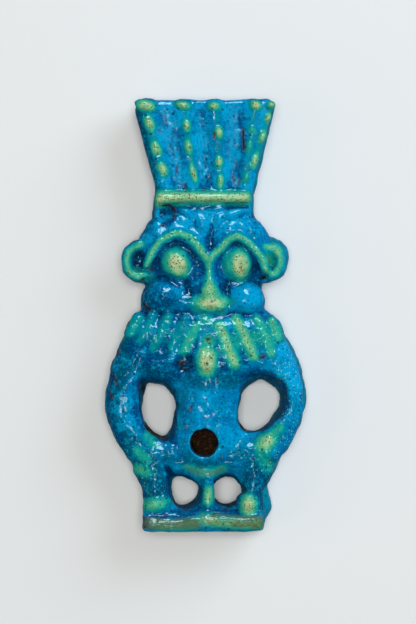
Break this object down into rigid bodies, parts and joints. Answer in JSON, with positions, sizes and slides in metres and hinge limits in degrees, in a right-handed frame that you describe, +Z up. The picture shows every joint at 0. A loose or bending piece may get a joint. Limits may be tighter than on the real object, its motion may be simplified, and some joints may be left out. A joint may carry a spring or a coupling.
{
  "type": "amulet figure",
  "caption": "Small moulded openwork figure in blue glaze: a squat, round-eared dwarf god with a plumed crown, bowed arms and a round navel, standing on a flat base.",
  "frame": {"origin": "under the middle of the figure's box, on the surface it lies on", "axes": "+Z up, out of the figure's face as it lies on its back; +Y from its base to its crown; +X to the viewer's right"},
  "size_m": [0.0258, 0.055, 0.008],
  "materials": {
    "faience": "glossy mottled blue glaze, pooled deep blue in the hollows and thinned to yellow-green on the raised parts"
  },
  "bodies": {
    "root": {"bes_figure": "faience"}
  },
  "joints": []
}
